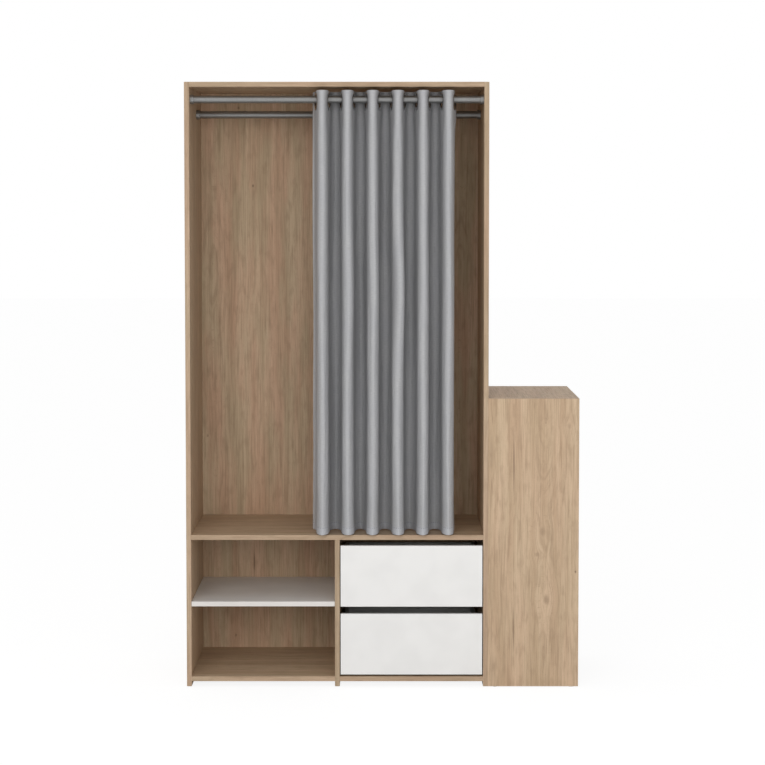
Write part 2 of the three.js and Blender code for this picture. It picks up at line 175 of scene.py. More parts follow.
world = bpy.data.worlds.new("soft_sky")
scene.world = world
world.use_nodes = True
world.node_tree.nodes.clear()
add = partial(add_node, world.node_tree)
path = add("LightPath")
seen = add("Math", path.outputs["Is Camera Ray"], path.outputs["Is Glossy Ray"], operation="MAXIMUM")
seen = add("Math", seen, path.outputs["Is Transmission Ray"], operation="MAXIMUM")
sky = add("Background", linear("#ffffff"), SKY_LEVEL)
backdrop = add("Background", linear("#ffffff"), 1)
add("OutputWorld", add("MixShader", seen, sky, backdrop))
print("sky level", SKY_LEVEL)

# %% White floor
FLOOR_HALF = 30
GLOW_SHARE, GLOW_LEVEL = 0.8, 1.1
PAINTED_SHADE_REACH = 1.5

floor_paint, add, fill_shader = new_material("white_studio_floor")
fill_shader({"Base Color": linear("#f4f4f4"), "Roughness": 0.9})
glow = add("Emission", linear("#ffffff"), GLOW_LEVEL)
path = add("LightPath")
share = add("Math", path.outputs["Is Camera Ray"], GLOW_SHARE, operation="MULTIPLY")
tree = floor_paint.node_tree
# The camera sees mostly a plain white glow, and reflections see a painted shade of dark grey near the object
mixed = add("MixShader", share, tree.nodes["Principled BSDF"], glow)
away = add("VectorMath", add("TexCoord").outputs["Object"], operation="LENGTH")
near = add("Math", away.outputs["Value"], PAINTED_SHADE_REACH, operation="LESS_THAN")
near = add("Math", near, path.outputs["Is Glossy Ray"], operation="MULTIPLY")
# Painted shade: within this reach of the object, reflections see a dark grey floor in place of its shadow
mixed = add("MixShader", near, mixed, add("BsdfDiffuse", linear("#505050")))
fill(tree, tree.nodes["Material Output"], {"Surface": mixed})


def add_mesh(name, bm):
    """A new object in the scene from a bmesh, which is used up."""
    mesh = bpy.data.meshes.new(name)
    bm.to_mesh(mesh)
    bm.free()
    return add_object(name, mesh)


bm = bmesh.new()
bmesh.ops.create_grid(bm, x_segments=1, y_segments=1, size=FLOOR_HALF)
floor = add_mesh("floor", bm)
floor.data.materials.append(floor_paint)
floor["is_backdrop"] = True
print("floor", 2 * FLOOR_HALF, "m wide")

# %% Front lamps
LAMPS = [("left_lamp", (-1.55, -6.2, 2.8), 118), ("right_lamp", (1.35, -6.2, 1.5), 92)]
LAMP_SIZE, LAMP_TARGET = 3, Vector((0, 0, 1))
for name, place, watts in LAMPS:
    lamp_data = bpy.data.lights.new(name, "AREA")
    lamp_data.shape = "SQUARE"
    lamp_data.size = LAMP_SIZE
    lamp_data.energy = watts
    lamp = add_object(name, lamp_data)
    lamp.location = place
    lamp.rotation_euler = (LAMP_TARGET - lamp.location).to_track_quat("-Z", "Y").to_euler()
    lamp.visible_glossy = False
print(len(LAMPS), "lamps")

# %% [markdown]
# ## Printed oak foil
# The boards are chipboard faced with a printed paper that copies light oak. The eye reads wide soft bands
# of tone, fine lines along the grain that meander and close into long arches, short dark pores, and a few
# small knots that the lines flow round. A picture of real wood would be the quick way, but it repeats. Here
# each layer is a stretched noise on the board's own map, whose U runs along the grain in metres, so the
# print keeps its real scale on every board.

# %% Grain noise
SHIFT_ALONG, SHIFT_ACROSS = 0.731, 0.419


def map_shift(number):
    """Where a board's print starts on the endless pattern, so that no two boards look alike."""
    return Vector((SHIFT_ALONG * number, SHIFT_ACROSS * number))


def grain_noise(add, along, across, length, width, detail=2, offset=0.0):
    """Noise whose grains are about as long and as wide as given, in metres, at a place on the map."""
    place = add("Mapping", {"Vector": add("CombineXYZ", along, across, offset),
                            "Scale": (1 / length, 1 / width, 1)})
    return add("TexNoise", place, 1, detail)


# %% [markdown]
# ## The print itself
# An arch in wood is a cut through nested cones, so its lines are drawn on the distance to a heart line,
# joined with a depth that rises and falls along the board. Away from the heart the lines run straight. The
# tones come from light oak with a grey-beige stain, and the line colour is its darkest late wood.

# %% Printed oak
# In metres: how far apart the hearts lie, their least and most depth, and how soon depth and arches change
HEART_SPACING, LEAST_DEPTH, MOST_DEPTH = 0.432, 0.003, 0.05
DEPTH_CHANGE, ARCH_CHANGE = 0.55, 0.06
# Noises, each as its length along the grain and its width across, in metres
MEANDER, WOBBLE = (0.8, 0.14), (0.13, 0.02)
BROAD_BAND, SLIM_BAND, HUE_PATCH = (0.7, 0.055), (0.9, 0.016), (0.4, 0.06)
# How far the first two bend the arches and the straight lines, in metres
ARCH_MEANDER, STRAIGHT_MEANDER, ARCH_WOBBLE, STRAIGHT_WOBBLE = 0.035, 0.012, 0.006, 0.004
# A mark pulls the lines that lie within four radii of it, and is fully dark in its middle fifth
PULL_REACH, PULL, DARK_MIDDLE = 4, -0.8, 0.2
HUE_SHARE = 0.35
PORE_DEPTH = 0.08 * MM
KNOT_BROWN = "#5f4936"


def printed_oak(name, pale, deep, warm, cool, line, roughness, marks=()):
    """Oak foil from five tones. A mark is (board, along, across, radius, stretch, darkness)."""
    material, add, fill_shader = new_material(name)
    place = add("SeparateXYZ", add("UVMap", uv_map="grain"))
    along, across = place.outputs["X"], place.outputs["Y"]

    meander = grain_noise(add, along, across, *MEANDER, detail=1)
    bent = add("Math", add("Math", meander, 0.5, operation="SUBTRACT"), ARCH_MEANDER, across,
               operation="MULTIPLY_ADD")
    side = add("Math", bent, HEART_SPACING / 2, operation="PINGPONG")
    rise = grain_noise(add, along, 0.0, DEPTH_CHANGE, 1, detail=1, offset=7)
    depth = add("MapRange", rise, 0.3, 0.7, LEAST_DEPTH, MOST_DEPTH, interpolation_type="SMOOTHSTEP")
    cone = add("VectorMath", add("CombineXYZ", side, depth), operation="LENGTH")
    wobble = grain_noise(add, along, across, *WOBBLE, offset=5)
    field = add("Math", wobble, ARCH_WOBBLE, cone, operation="MULTIPLY_ADD")
    straight = add("Math", meander, STRAIGHT_MEANDER, across, operation="MULTIPLY_ADD")
    straight = add("Math", wobble, STRAIGHT_WOBBLE, straight, operation="MULTIPLY_ADD")

    # The lines flow round each mark, and its middle is dark
    knots = 0.0
    for board, up, sideways, radius, stretch, darkness in marks:
        u, v = Vector((up, sideways)) + map_shift(board)
        du = add("Math", add("Math", along, u, operation="SUBTRACT"), stretch, operation="DIVIDE")
        dv = add("Math", across, v, operation="SUBTRACT")
        near = add("VectorMath", add("CombineXYZ", du, dv), operation="LENGTH")
        pull = add("MapRange", near, PULL_REACH * radius, 0, 0, PULL, interpolation_type="SMOOTHSTEP")
        field = add("Math", dv, pull, field, operation="MULTIPLY_ADD")
        straight = add("Math", dv, pull, straight, operation="MULTIPLY_ADD")
        dark = add("MapRange", near, radius, DARK_MIDDLE * radius, 0, darkness,
                   interpolation_type="SMOOTHSTEP")
        knots = add("Math", knots, dark, operation="MAXIMUM")

    # Broad and slim bands of light and dark growth, and patches of a warmer and a cooler hue
    broad = grain_noise(add, along, straight, *BROAD_BAND, detail=1, offset=9)
    bands = grain_noise(add, along, straight, *SLIM_BAND, offset=11)
    level = add("MapRange", add("Math", broad, bands, operation="ADD"), 0.74, 1.26, 0, 1,
                interpolation_type="SMOOTHSTEP")
    tone = add("Mix", level, linear(deep), linear(pale), data_type="RGBA")
    hue = grain_noise(add, along, straight, *HUE_PATCH, detail=3, offset=17)
    hue = add("MapRange", hue, 0.35, 0.65, 0, 1, interpolation_type="SMOOTHSTEP")
    tint = add("Mix", hue, linear(cool), linear(warm), data_type="RGBA")
    tone = add("Mix", HUE_SHARE, tone, tint, data_type="RGBA")

    # Layers of darker growth from wide to fine, as patches, arches, lines, strokes and pores:
    # (map across, length, width, detail, from, to, strength, offset)
    drift = add("Math", across, 1 / ARCH_CHANGE, operation="MULTIPLY")
    layers = [
        (across, 0.06, 0.020, 3, 0.48, 0.74, 0.30, 19),
        (field, 0.25, 0.0060, 2, 0.50, 0.72, 0.30, drift),
        (straight, 0.16, 0.0030, 2, 0.46, 0.72, 0.42, 23),
        (straight, 0.055, 0.0019, 2, 0.55, 0.78, 0.55, 31),
        (field, 0.009, 0.0006, 1, 0.60, 0.72, 0.30, 41),
    ]
    noises = []
    for across_map, length, width, detail, start, end, strength, offset in layers:
        noises.append(grain_noise(add, along, across_map, length, width, detail, offset))
        share = add("MapRange", noises[-1], start, end, 0, strength, interpolation_type="SMOOTHSTEP")
        tone = add("Mix", share, tone, linear(line), data_type="RGBA")
    tone = add("Mix", knots, tone, linear(KNOT_BROWN), data_type="RGBA")

    # The foil is pressed with fine pores, so lines are a little rougher and lie a hair deeper
    lines, strokes, pores = noises[2:]
    rough = add("MapRange", lines, 0.3, 0.7, roughness - 0.05, roughness + 0.07)
    height = add("Math", pores, 1.5, strokes, operation="MULTIPLY_ADD")
    height = add("Math", height, -0.4, operation="MULTIPLY")
    bump = add("Bump", {"Height": height, "Strength": 0.25, "Distance": PORE_DEPTH})
    fill_shader({"Base Color": tone, "Roughness": rough, "Normal": bump})
    return material


# %% [markdown]
# ## Three oaks
# The faces, the edge bands and the thin backs come from three rolls of foil, so they differ a little in
# tone: the bands are darker with pinker streaks, and the backs are a touch more orange. The marks are knots,
# drying checks and swirls, each with its board's number, its place in metres, and its size.

# %% Oak faces, bands and backs
UNIT_FRONT, UPPER_BACK, LOWER_BACK = 8, 21, 22
face_marks = [
    (UNIT_FRONT, 0.3854, 0.6397, 4 * MM, 1.6, 0.75),
    (UNIT_FRONT, 0.2927, 0.5438, 13 * MM, 1.7, 0.30),
    (UNIT_FRONT, 0.4430, 0.5120, 9 * MM, 1.2, 0.28),
    (UNIT_FRONT, 0.5190, 0.5297, 12 * MM, 1.8, 0.26),
    (UNIT_FRONT, 0.8713, 0.6167, 9 * MM, 1.5, 0.22),
    (UNIT_FRONT, 0.7350, 0.4347, 3 * MM, 40, 0.65),
    (UNIT_FRONT, 0.1900, 0.4347, 3 * MM, 36, 0.60),
    (UNIT_FRONT, 0.7800, 0.3600, 10 * MM, 9, 0.18),
    (UNIT_FRONT, 0.0600, 0.3650, 12 * MM, 6, 0.18),
]
back_marks = [
    (UPPER_BACK, 1.6656, -0.4536, 5 * MM, 1.7, 0.70),
    (UPPER_BACK, 1.6400, -0.4536, 2.5 * MM, 16, 0.45),
    (UPPER_BACK, 1.9374, -0.5030, 5 * MM, 1.4, 0.65),
    (UPPER_BACK, 0.7870, -0.6160, 5 * MM, 1.6, 0.45),
    (LOWER_BACK, 0.3420, -0.4536, 4 * MM, 14, 0.65),
    (LOWER_BACK, 0.0770, -0.5190, 5 * MM, 1.5, 0.55),
]
oak_face = printed_oak("printed_oak_foil", "#c9b094", "#b1967a", "#c6a88b", "#bfa98a", "#8b7259", 0.58,
                       face_marks)
oak_band = printed_oak("oak_edge_band", "#bca58a", "#a58c73", "#bb9b83", "#aa997e", "#8b745c", 0.55)
oak_back = printed_oak("printed_oak_back_board", "#c3a88d", "#aa9075", "#c59b81", "#b0a485", "#846b53", 0.62,
                       back_marks)
print("oak materials:", oak_face.name, oak_band.name, oak_back.name)

# %% [markdown]
# ## Raw board
# Where no foil covers a board, its core shows. Chipboard is pressed from chips of a few millimetres, which
# a Voronoi pattern draws as cells of slightly different straw colours, with flecks of dark resin. The back
# of a thin board is brown hardboard, a felt of fine fibres with soft clouds.

# %% Raw chipboard and hardboard
CHIP, SPLINTER, CHIP_DEPTH = 2.2 * MM, 0.8 * MM, 0.3 * MM
FIBRE, FELT_CLOUD, FELT_DEPTH = 1.6 * MM, 90 * MM, 0.15 * MM

chip_core, add, fill_shader = new_material("raw_chipboard_edge")
place = add("TexCoord").outputs["Object"]
chips = add("TexVoronoi", {"Vector": place, "Scale": 1 / CHIP})
splinters = add("TexNoise", {"Vector": place, "Scale": 1 / SPLINTER, "Detail": 3})
tone = add("Mix", chips.outputs["Color"], linear("#a98a63"), linear("#c9ad84"), data_type="RGBA")
resin = add("MapRange", splinters, 0.5, 0.75, 0, 0.5, interpolation_type="SMOOTHSTEP")
tone = add("Mix", resin, tone, linear("#7d6040"), data_type="RGBA")
bump = add("Bump", {"Height": chips.outputs["Distance"], "Strength": 0.6, "Distance": CHIP_DEPTH})
fill_shader({"Base Color": tone, "Roughness": 0.95, "Normal": bump})

fibre_board, add, fill_shader = new_material("raw_hardboard")
place = add("TexCoord").outputs["Object"]
cloud = add("TexNoise", {"Vector": place, "Scale": 1 / FELT_CLOUD, "Detail": 4})
fibres = add("TexNoise", {"Vector": place, "Scale": 1 / FIBRE, "Detail": 3})
cloud = add("MapRange", cloud, 0.35, 0.65, 0, 1, interpolation_type="SMOOTHSTEP")
tone = add("Mix", cloud, linear("#8f6d4c"), linear("#9d7b58"), data_type="RGBA")
dark = add("MapRange", fibres, 0.45, 0.7, 0, 0.45, interpolation_type="SMOOTHSTEP")
tone = add("Mix", dark, tone, linear("#6f5238"), data_type="RGBA")
bump = add("Bump", {"Height": fibres, "Strength": 0.4, "Distance": FELT_DEPTH})
fill_shader({"Base Color": tone, "Roughness": 0.85, "Normal": bump})
print("raw boards:", chip_core.name, fibre_board.name)


# %% [markdown]
# ## White skins
# Melamine is paper soaked in resin and pressed hard, which leaves an orange-peel of about two millimetres
# that only shows in the gloss. The drawer boxes have a duller pale foil, and the glides are moulded nylon.
# The shelf's edges have a thin band in a slightly greyer white. All of these are one recipe with other
# colours: an even tone with a faint cloud, and the peel as bump.

# %% Melamine, drawer foil and nylon
PEEL, PEEL_DEPTH, SKIN_CLOUD = 2 * MM, 0.1 * MM, 120 * MM


def smooth_skin(name, colour, shade, roughness):
    """A hard even skin between two close tones, with its peel in roughness and bump."""
    material, add, fill_shader = new_material(name)
    place = add("TexCoord").outputs["Object"]
    cloud = add("TexNoise", {"Vector": place, "Scale": 1 / SKIN_CLOUD, "Detail": 2})
    cloud = add("MapRange", cloud, 0.35, 0.65, 0, 1, interpolation_type="SMOOTHSTEP")
    peel = add("TexNoise", {"Vector": place, "Scale": 1 / PEEL, "Detail": 2})
    bump = add("Bump", {"Height": peel, "Strength": 0.15, "Distance": PEEL_DEPTH})
    fill_shader({
        "Base Color": add("Mix", cloud, linear(colour), linear(shade), data_type="RGBA"),
        "Roughness": add("MapRange", peel, 0.3, 0.7, roughness - 0.04, roughness + 0.04),
        "Normal": bump,
    })
    return material


white_skin = smooth_skin("white_melamine_skin", "#e5e4e2", "#e1e0de", 0.42)
white_band = smooth_skin("white_edge_band", "#dad6d1", "#d6d2cd", 0.42)
drawer_foil = smooth_skin("pale_drawer_foil", "#d5d5d3", "#d0d0ce", 0.6)
glide_nylon = smooth_skin("moulded_nylon", "#d9d6cf", "#cfccc4", 0.5)
print("skins:", white_skin.name, white_band.name, drawer_foil.name, glide_nylon.name)


# %% [markdown]
# ## Metals
# The rails are satin steel tube, ground round its girth: fine lines run around it, and it mirrors the room
# as one even grey band with dark edges. The lower edge is partly the floor's painted shade, seen in
# reflections. The runners are zinc-plated strip with a soft mottle, and the eyelets are nickel on pressed
# brass. A real grinding line is a tenth of a millimetre wide, too fine to show, so it is drawn nearly a
# millimetre wide and very faint.

# %% Metals
LINE_DEPTH = 0.02 * MM


def metal(name, colour, shade, roughness, line_length, line_width, metallic=1):
    """Ground or plated metal, whose lines run along Y and Z and are as wide along X as given."""
    material, add, fill_shader = new_material(name)
    place = add("Mapping", {"Vector": add("TexCoord").outputs["Object"],
                            "Scale": (1 / line_width, 1 / line_length, 1 / line_length)})
    lines = add("TexNoise", {"Vector": place, "Scale": 1, "Detail": 2})
    share = add("MapRange", lines, 0.3, 0.7, 0, 1, interpolation_type="SMOOTHSTEP")
    fill_shader({
        "Base Color": add("Mix", share, linear(colour), linear(shade), data_type="RGBA"),
        "Roughness": add("MapRange", lines, 0.3, 0.7, roughness * 0.85, roughness * 1.2),
        "Normal": add("Bump", {"Height": lines, "Strength": 0.08, "Distance": LINE_DEPTH}),
        "Metallic": metallic,
    })
    return material


satin_tube = metal("satin_steel_tube", "#9f9f9e", "#959594", 0.42, 9 * MM, 0.8 * MM, metallic=0.9)
zinc_strip = metal("zinc_plated_strip", "#a9adaf", "#9a9ea0", 0.42, 3 * MM, 3 * MM)
nickel_ring = metal("nickel_plated_brass", "#dddddc", "#d2d2d1", 0.22, 4 * MM, 4 * MM)
print("metals:", satin_tube.name, zinc_strip.name, nickel_ring.name)


# %% [markdown]
# ## A piece that rides on a body
# Every new mesh becomes an object at the origin with its place in its mesh, rides on a body of the
# construction when it is given one, and stands for the node that it replaces.

# %% Add a piece
def add_piece(name, bm, materials, node=None, body=None, slot=None, replaces=()):
    """Turns a bmesh into a piece that rides on a body. A node gives its body and is replaced. The slot is not
    used.
    """
    piece = add_mesh(name, bm)
    for material in materials:
        piece.data.materials.append(material)
    if node:
        body, slot, replaces = body_of[node], slot_of[node], (node,)
    if body:
        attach(piece, body)
    if replaces:
        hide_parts(*replaces)
    return piece


# %% [markdown]
# ## A board with its edge bands
# Each board starts from a copy of the construction's own solid, with its grooves and holes. Its loose
# triangles are merged into plain faces, and its outer edges get the small round that a trimmed edge band
# has. Every face gets a map that runs along the grain. Faces inside grooves, and edges without a band, show
# the core. Building a box anew would be shorter, but would lose the grooves.

# %% Copy of a solid
BAND_ROUND = 0.6 * MM
GLIDE_HEIGHT = 1.5 * MM
WELD, CUT_SNAP, TOUCH = 0.01 * MM, 0.05 * MM, 0.02 * MM
FACE, BAND, CORE = 0, 1, 2
X, Y, Z = 0, 1, 2


def solid_copy(node):
    """The node's solid with its triangles merged into plain faces, and any glides cut off."""
    bm = bmesh.new()
    bm.from_mesh(nodes[node].data)
    bmesh.ops.remove_doubles(bm, verts=bm.verts, dist=WELD)
    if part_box(node)[0].z < GLIDE_HEIGHT / 2:
        bmesh.ops.bisect_plane(bm, geom=bm.verts[:] + bm.edges[:] + bm.faces[:], dist=CUT_SNAP,
                               plane_co=(0, 0, GLIDE_HEIGHT), plane_no=(0, 0, 1), clear_inner=True)
        bmesh.ops.holes_fill(bm, edges=[edge for edge in bm.edges if edge.is_boundary], sides=0)
    bmesh.ops.dissolve_limit(bm, angle_limit=math.radians(2), verts=bm.verts, edges=bm.edges)
    bmesh.ops.recalc_face_normals(bm, faces=bm.faces)
    return bm


def on_how_many_sides(point, low, high):
    """On how many sides of a box a point lies."""
    gaps = [min(abs(point[axis] - low[axis]), abs(point[axis] - high[axis])) for axis in range(3)]
    return sum(gap < TOUCH for gap in gaps)


def facing(face):
    """The axis that a face looks along, and its direction."""
    axis = max(range(3), key=lambda number: abs(face.normal[number]))
    return axis, 1 if face.normal[axis] > 0 else -1


# %% [markdown]
# ## From solid to board
# A face's material follows from where it lies: the two large faces are foil, the narrow sides are band or
# bare core, and whatever lies inside the board's box is a groove. The bevel comes after the materials, so
# that each round takes the material of a face beside it.

# %% Add a board
def add_board(node, name, materials, number, grain=None, bare=()):
    """A faced board. Grain is the axis along it, or the longest side, and bare lists sides without a band."""
    low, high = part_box(node)
    if low.z < GLIDE_HEIGHT / 2:
        low.z = GLIDE_HEIGHT
    size = high - low
    thin = min(range(3), key=lambda axis: size[axis])
    if grain is None:
        grain = max(range(3), key=lambda axis: size[axis])
    bm = solid_copy(node)

    for face in bm.faces:
        side = facing(face)
        if not on_how_many_sides(face.calc_center_median(), low, high):
            face.material_index = CORE
        elif side[0] == thin:
            face.material_index = FACE
        else:
            face.material_index = CORE if side in bare else BAND

    middles = [(edge, (edge.verts[0].co + edge.verts[1].co) / 2) for edge in bm.edges]
    outer = [edge for edge, point in middles if on_how_many_sides(point, low, high) >= 2]
    bmesh.ops.bevel(bm, geom=outer, offset=BAND_ROUND, segments=2, profile=0.5, affect="EDGES", material=-1,
                    clamp_overlap=True)

    grain_map = bm.loops.layers.uv.new("grain")
    for face in bm.faces:
        out = facing(face)[0]
        flat = [axis for axis in range(3) if axis != out]
        along = grain if out == thin else max(flat, key=lambda axis: size[axis])
        across = sum(flat) - along
        for loop in face.loops:
            place = loop.vert.co
            loop[grain_map].uv = Vector((place[along], place[across])) + map_shift(number)
    return add_piece(name, bm, materials, node=node)


# %% [markdown]
# ## The carcass and the low unit
# Uprights have upright grain, and the boards that lie flat have theirs along their length, or from left to
# right where they are nearly square. Front edges are banded. The rear edges of the wardrobe and the left
# edges of the low unit, which stand against a wall or another board, are left bare, as on real flat-pack
# furniture.

# %% Oak boards
REAR, INNER_LEFT = (Y, 1), (X, -1)
carcass_boards = ["side_panel_left", "side_panel_right", "top_panel", "hanging_floor", "divider",
                  "bottom_panel_left", "bottom_panel_right"]
unit_boards = ["low_unit_side_front", "low_unit_side_rear", "low_unit_top", "low_unit_bottom",
               "low_unit_shelf_1", "low_unit_shelf_2"]
for number, node in enumerate(carcass_boards + unit_boards, start=1):
    bare = REAR if node in carcass_boards else INNER_LEFT
    grain = X if node.startswith("bottom_panel") else None
    add_board(node, f"oak_{node}", [oak_face, oak_band, chip_core], number, grain=grain, bare=[bare])
print(len(carcass_boards) + len(unit_boards), "oak boards")

# %% [markdown]
# ## Thin backs
# The backs are three millimetres of hardboard in grooves, printed on the side that shows and raw behind.
# Both large faces of a board get the foil above, so here the rear one is set back to the raw fibre.

# %% Back boards
thin_boards = {"back_panel_upper": REAR, "back_panel_lower": REAR, "low_unit_back": INNER_LEFT}
for number, (node, rear) in enumerate(thin_boards.items(), start=UPPER_BACK):
    board = add_board(node, f"thin_{node}", [oak_back, fibre_board, fibre_board], number, grain=Z)
    axis, side = rear
    for polygon in board.data.polygons:
        if polygon.normal[axis] * side > 0.9:
            polygon.material_index = CORE
print(len(thin_boards), "back boards")

# %% [markdown]
# ## White boards and drawer boxes
# The drawer fronts and the loose shelf are white melamine on all sides. The drawer boxes behind are thinner
# boards in a pale foil, which only show as a soft grey in the finger gaps and when a drawer is open.

# %% White fronts, shelf and boxes
FIRST_WHITE, FIRST_BOX = 31, 41
white_boards = {"loose_shelf": white_band, "drawer_lower_front": white_skin,
                "drawer_upper_front": white_skin}
for number, (node, band) in enumerate(white_boards.items(), start=FIRST_WHITE):
    add_board(node, f"white_{node}", [white_skin, band, chip_core], number)
box_boards = [f"drawer_{drawer}_{part}" for drawer in ("lower", "upper")
              for part in ("side_left", "side_right", "back", "bottom")]
for number, node in enumerate(box_boards, start=FIRST_BOX):
    add_board(node, f"foiled_{node}", [drawer_foil, drawer_foil, chip_core], number)
print(len(white_boards), "white boards and", len(box_boards), "foiled boards")


# %% [markdown]
# ## Turned parts
# A tube, a cup flange and an eyelet are all turned: one section, spun round an axis. The spin uses many
# more steps than the construction needs, and its doubles are merged before its faces are turned outwards.

# %% Spin a section
SPIN_WELD = 0.001 * MM


def turned(profile, centre, steps=64):
    """Spins a closed profile of (along X, radius) points round an axis along X through a centre."""
    bm = bmesh.new()
    verts = [bm.verts.new((along, 0, radius)) for along, radius in profile]
    edges = [bm.edges.new((verts[i - 1], verts[i])) for i in range(len(verts))]
    bmesh.ops.spin(bm, geom=verts + edges, cent=(0, 0, 0), axis=(1, 0, 0), dvec=(0, 0, 0),
                   angle=2 * math.pi, steps=steps, use_merge=True)
    bmesh.ops.remove_doubles(bm, verts=bm.verts, dist=SPIN_WELD)
    bmesh.ops.recalc_face_normals(bm, faces=bm.faces)
    bmesh.ops.translate(bm, verts=bm.verts, vec=centre)
    return bm


def smooth(piece, degrees=35):
    """Smooth shading with sharp edges where faces meet at more than an angle."""
    piece.data.shade_smooth()
    piece.data.set_sharp_from_angle(angle=math.radians(degrees))
    return piece


# %% [markdown]
# ## Rails and their cups
# Each rail is a tube that ends inside two cups, which are screwed to the side panels before the tube goes
# in. The cup is a deep saucer in section, with a rounded rim.

# %% Rails and their flanges
TUBE_WALL = 1.25 * MM
FLANGE_BASE = 3 * MM
FLANGE_ROUND = 1 * MM
CUP_PLAY = 0.3 * MM
rails = ("curtain_rail", "hanging_rail")
for rail in rails:
    low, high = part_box(rail)
    middle = (low + high) / 2
    radius = (high.z - low.z) / 2
    half = (high.x - low.x) / 2
    tube = [(-half, radius), (half, radius), (half, radius - TUBE_WALL), (-half, radius - TUBE_WALL)]
    smooth(add_piece(f"{rail}_tube", turned(tube, middle), [satin_tube], node=rail))
    for side, outward in (("left", 1), ("right", -1)):
        node = f"{rail}_flange_{side}"
        low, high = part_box(node)
        length, outer = high.x - low.x, (high.z - low.z) / 2
        bore = radius + CUP_PLAY
        wall_face = low.x if outward > 0 else high.x
        rim = [(length - FLANGE_ROUND * (1 - math.sin(turn)), outer - FLANGE_ROUND * (1 - math.cos(turn)))
               for turn in map(math.radians, (0, 30, 60, 90))]
        cup = [(0, 0), (0, outer), *rim, (length, bore), (FLANGE_BASE, bore), (FLANGE_BASE, 0)]
        cup = [(outward * along, around) for along, around in cup]
        centre = Vector((wall_face, middle.y, middle.z))
        smooth(add_piece(f"{rail}_cup_{side}", turned(cup, centre), [satin_tube], node=node))
print(len(rails), "rails, each with two cups")

# %% [markdown]
# ## Runners and shelf pins
# A runner is a folded strip and a shelf pin a short bar. Both are right as the construction has them, so
# they stay and only take a finish.

# %% Finishes of the pieces that stay
finished = 0
for name, node in nodes.items():
    finish = zinc_strip if "runner" in name else satin_tube if name.startswith("shelf_pin") else None
    if finish:
        node.data.materials.clear()
        node.data.materials.append(finish)
        finished += 1
print(finished, "runners and pins finished")

# %% [markdown]
# ## The curtain's folds
# An eyelet curtain is a flat cloth threaded on the rail, so it folds to the front and to the back in turn.
# Seen from above, each fold is a deep round tip and a flat flank through the eyelet that leans up to ten
# degrees from square. Each side of the tip is a quarter of an ellipse, made blunter at the eyelets and a
# little more pointed at the hem. A sine wave would be simpler, but its tips would be too sharp and its
# flanks would not lie flat under the eyelets. The eyelets make the flanks lean. Below them the folds fill
# out, and at the hem they open a little again.

# %% Half a fold
EYELETS = 12
EYELET_BORE, EYELET_SLEEVE, EYELET_FLANGE = 20 * MM, 1.5 * MM, 9 * MM
CLOTH = 1.2 * MM
FLAT_MARGIN, LEAST_TIP_SHARE = 1 * MM, 0.7
TIP_STEPS, FLANK_STEPS = 13, 7
HALF_STEPS = TIP_STEPS + FLANK_STEPS

first_eyelet = sum(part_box("eyelet_01"), Vector()) / 2
last_eyelet = sum(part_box("eyelet_12"), Vector()) / 2
pitch = (last_eyelet.x - first_eyelet.x) / (EYELETS - 1)
cloth_low, cloth_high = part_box("curtain")
reach = (cloth_high.y - cloth_low.y - CLOTH) / 2
flat = EYELET_BORE + EYELET_FLANGE + FLAT_MARGIN


def half_fold(tilt, blunt, cut=0):
    """Points (across, depth) from a fold's tip to the next eyelet, with a tilt and a cut in radians.

    With a blunt of 1 the tip is a true ellipse, below that it is squarer, and above it more pointed. The cut
    leaves out the first part of the tip."""
    flank = Vector((pitch / 2 - flat * math.sin(tilt), flat * math.cos(tilt)))
    corner = Vector((max(pitch / 2 - reach * math.tan(tilt), LEAST_TIP_SHARE * pitch / 2), reach))
    middle = Vector((0, reach)) + flank - corner
    points = []
    for step in range(TIP_STEPS + 1):
        turn = cut + (math.pi / 2 - cut) * step / TIP_STEPS
        points.append(middle + (flank - middle) * math.sin(turn) ** blunt
                      + (corner - flank) * max(0, math.cos(turn)) ** blunt)
    for step in range(1, FLANK_STEPS + 1):
        points.append(flank.lerp(Vector((pitch / 2, 0)), step / FLANK_STEPS))
    return points


# %% [markdown]
# ## The whole line
# Half folds follow each other, mirrored in turn, from the free edge at the back to the hem past the last
# eyelet. The free edge stops short of a full tip, as it has no neighbour to turn to. The line's length is the
# cloth's real width, more than three times what the hung curtain covers.

# %% Fold line
EDGE_CUT = math.radians(26)
LAST_FLANK, LAST_STEPS = 40 * MM, 8


def fold_line(tilt, blunt):
    """The whole line in plan as (x, y) from the first eyelet, for a tilt in degrees and a bluntness."""
    tilt = math.radians(tilt)
    half = half_fold(tilt, blunt)
    line = [Vector((across - 0.5 * pitch, depth)) for across, depth in half_fold(tilt, blunt, EDGE_CUT)]
    for fold in range(1, EYELETS):
        side = 1 if fold % 2 == 0 else -1
        tip_x = (fold - 0.5) * pitch
        line += [Vector((tip_x - across, side * depth)) for across, depth in reversed(half[:-1])]
        line += [Vector((tip_x + across, side * depth)) for across, depth in half[1:]]
    end = line[-1]
    for step in range(1, LAST_STEPS + 1):
        run = LAST_FLANK * step / LAST_STEPS
        line.append(end + Vector((run * math.sin(tilt), run * math.cos(tilt))))
    return line


# The flank's tilt in degrees and the tip's bluntness at the top edge, the eyelets, below them and the hem
FLARED, HELD, SETTLED, OPENED = (3, 0.85), (10, 0.8), (2.5, 1), (5, 1.2)
settled_line = fold_line(*SETTLED)
lengths = [0.0]
for before, after in zip(settled_line, settled_line[1:]):
    lengths.append(lengths[-1] + (after - before).length)
print("cloth", len(settled_line), "columns,", round(lengths[-1], 3), "m wide before it is hung")

# %% [markdown]
# ## Cutting the cloth
# The cloth is cut flat, as a tailor cuts it: a grid whose columns follow the fold line's length, with a
# round hole for each eyelet. Working flat first keeps the real width of the cloth, and gives a map in
# metres for the weave and the stitching.

